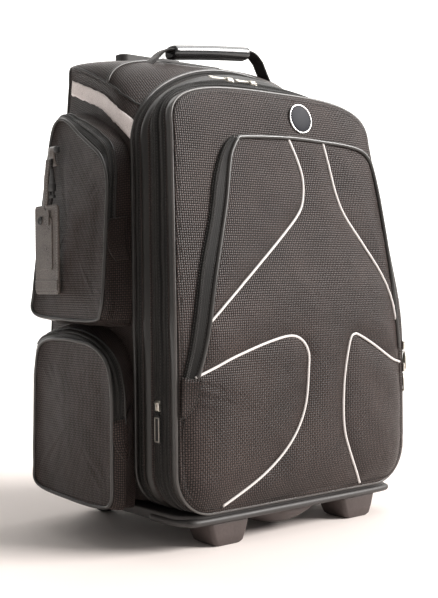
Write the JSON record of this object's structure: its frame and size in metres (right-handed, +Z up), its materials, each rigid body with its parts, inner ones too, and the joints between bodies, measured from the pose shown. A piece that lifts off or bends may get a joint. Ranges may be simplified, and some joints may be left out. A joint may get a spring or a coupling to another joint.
{
  "type": "rolling bowling bag",
  "caption": "Upright soft-sided rolling bag on a moulded base with rear wheels, telescopic trolley handle, zipped front section, side pockets and carry handle.",
  "frame": {"origin": "on the floor, under the middle of the bag's overall box", "axes": "+Z up, +X to the right of someone facing the front, front faces -Y"},
  "size_m": [0.444, 0.296, 0.5968],
  "materials": {
    "nylon": "ballistic nylon weave",
    "piping": "coated piping",
    "lining": "smooth lining",
    "foam": "fabric-covered foam",
    "webbing": "woven webbing",
    "coil": "zipper coil",
    "plastic": "moulded, fine grain",
    "grip": "smooth",
    "button": "moulded",
    "tyre": "matt",
    "hub": "moulded",
    "steel": "plain",
    "zinc": "satin plated",
    "alloy": "satin anodised",
    "leather": "fine grain",
    "badge": "domed",
    "pull": "moulded",
    "clip": "moulded"
  },
  "bodies": {
    "bag_body": {"main_shell": "nylon", "rim_piping": "piping", "frame_board": "lining", "base_tray": "plastic", "centre_bumper": "plastic", "front_foot_left": "plastic", "front_foot_right": "plastic", "wheel_housing_left": "plastic", "wheel_housing_right": "plastic", "axle_left": "steel", "axle_right": "steel", "outer_tube_left": "alloy", "outer_tube_right": "alloy", "tube_bracket": "plastic", "trolley_bezel": "plastic", "upper_pocket_left": "nylon", "upper_pocket_right": "nylon", "lower_pocket_left": "nylon", "lower_pocket_right": "nylon", "lower_ball_cup": "foam", "upper_ball_shelf": "foam", "tag_strap": "leather", "tray_screws": "steel", "handle_anchors": "webbing"},
    "wheel_left": {"wheel_hub_left": "hub", "wheel_tyre_left": "tyre", "bearings_left": "steel"},
    "wheel_right": {"wheel_hub_right": "hub", "wheel_tyre_right": "tyre", "bearings_right": "steel"},
    "trolley_stage": {"middle_tube_left": "alloy", "middle_tube_right": "alloy"},
    "trolley_handle": {"inner_tube_left": "alloy", "inner_tube_right": "alloy", "trolley_grip": "plastic", "button_spring": "steel"},
    "trolley_button": {"release_button": "button", "release_rods": "steel"},
    "front_section": {"lid_gusset": "nylon", "lid_divider": "lining", "gusset_coil": "coil"},
    "front_door": {"front_panel": "nylon", "front_pocket": "nylon", "name_badge": "badge"},
    "gusset_slider": {"gusset_slider": "zinc"},
    "gusset_pull": {"gusset_pull": "pull"},
    "panel_slider_left": {"panel_slider_left": "zinc"},
    "panel_slider_right": {"panel_slider_right": "zinc"},
    "panel_pull_left": {"panel_pull_left": "zinc"},
    "panel_pull_right": {"panel_pull_right": "zinc"},
    "pocket_slider_upper": {"pocket_slider_upper": "zinc"},
    "pocket_slider_lower": {"pocket_slider_lower": "zinc"},
    "pocket_pull_upper": {"pocket_pull_upper": "zinc"},
    "pocket_pull_lower": {"pocket_pull_lower": "zinc"},
    "tag_lanyard": {"tag_lanyard": "clip"},
    "luggage_tag": {"luggage_tag": "leather"},
    "carry_handle": {"carry_grip": "grip", "carry_strap": "webbing"}
  },
  "joints": [
    {"name": "wheel_left_spin", "type": "hinge", "parent": "bag_body", "child": "wheel_left", "pos_m": [-0.112, 0.117, 0.031], "axis": [1, 0, 0], "continuous": true},
    {"name": "wheel_right_spin", "type": "hinge", "parent": "bag_body", "child": "wheel_right", "pos_m": [0.112, 0.117, 0.031], "axis": [1, 0, 0], "continuous": true},
    {"name": "trolley_lower_slide", "type": "slide", "parent": "bag_body", "child": "trolley_stage", "axis": [0, 0, 1], "range_m": [0, 0.235]},
    {"name": "trolley_upper_slide", "type": "slide", "parent": "trolley_stage", "child": "trolley_handle", "axis": [0, 0, 1], "range_m": [0, 0.235]},
    {"name": "button_press", "type": "slide", "parent": "trolley_handle", "child": "trolley_button", "axis": [0, 0, -1], "range_m": [0, 0.002], "stiffness_N_per_m": 900, "deforming": ["button_spring"]},
    {"name": "section_hinge", "type": "hinge", "parent": "bag_body", "child": "front_section", "pos_m": [0.18, -0.05, 0.2], "axis": [0, 0, 1], "range_deg": [0, 95]},
    {"name": "panel_hinge", "type": "hinge", "parent": "front_section", "child": "front_door", "pos_m": [0.18, -0.116, 0.2], "axis": [0, 0, 1], "range_deg": [0, 95]},
    {"name": "gusset_zip", "type": "slide", "parent": "front_section", "child": "gusset_slider", "axis": [0, 0, 1], "range_m": [-0.065, 0.045]},
    {"name": "gusset_pull_swing", "type": "hinge", "parent": "gusset_slider", "child": "gusset_pull", "pos_m": [-0.1838, -0.096, 0.1527], "axis": [0, 1, 0], "range_deg": [0, 90]},
    {"name": "panel_zip_left", "type": "slide", "parent": "front_section", "child": "panel_slider_left", "axis": [1, 0, 0], "range_m": [-0.05, 0]},
    {"name": "panel_zip_right", "type": "slide", "parent": "front_section", "child": "panel_slider_right", "axis": [1, 0, 0], "range_m": [0, 0.06]},
    {"name": "panel_pull_left_swing", "type": "hinge", "parent": "panel_slider_left", "child": "panel_pull_left", "pos_m": [-0.0588, -0.06682, 0.53293], "axis": [0, 0.866, 0.5], "range_deg": [0, 90]},
    {"name": "panel_pull_right_swing", "type": "hinge", "parent": "panel_slider_right", "child": "panel_pull_right", "pos_m": [-0.0228, -0.06682, 0.53293], "axis": [0, 0.866, 0.5], "range_deg": [0, 90]},
    {"name": "pocket_zip_upper", "type": "slide", "parent": "front_door", "child": "pocket_slider_upper", "axis": [0, 0, 1], "range_m": [0, 0.035]},
    {"name": "pocket_zip_lower", "type": "slide", "parent": "front_door", "child": "pocket_slider_lower", "axis": [0, 0, 1], "range_m": [-0.085, 0]},
    {"name": "pocket_pull_upper_swing", "type": "hinge", "parent": "pocket_slider_upper", "child": "pocket_pull_upper", "pos_m": [0.1861, -0.127, 0.2032], "axis": [0, -1, 0], "range_deg": [0, 90]},
    {"name": "pocket_pull_lower_swing", "type": "hinge", "parent": "pocket_slider_lower", "child": "pocket_pull_lower", "pos_m": [0.1823, -0.127, 0.1752], "axis": [0, -1, 0], "range_deg": [0, 50]},
    {"name": "tag_swing", "type": "hinge", "parent": "bag_body", "child": "tag_lanyard", "pos_m": [-0.21, 0.077, 0.438], "axis": [1, 0, 0], "range_deg": [-40, 40]},
    {"name": "tag_lift", "type": "hinge", "parent": "tag_lanyard", "child": "luggage_tag", "pos_m": [-0.2145, 0.077, 0.392], "axis": [0, 1, 0], "range_deg": [0, 100]},
    {"name": "carry_handle_lift", "type": "slide", "parent": "bag_body", "child": "carry_handle", "axis": [0, 0, 1], "range_m": [0, 0.02]}
  ]
}
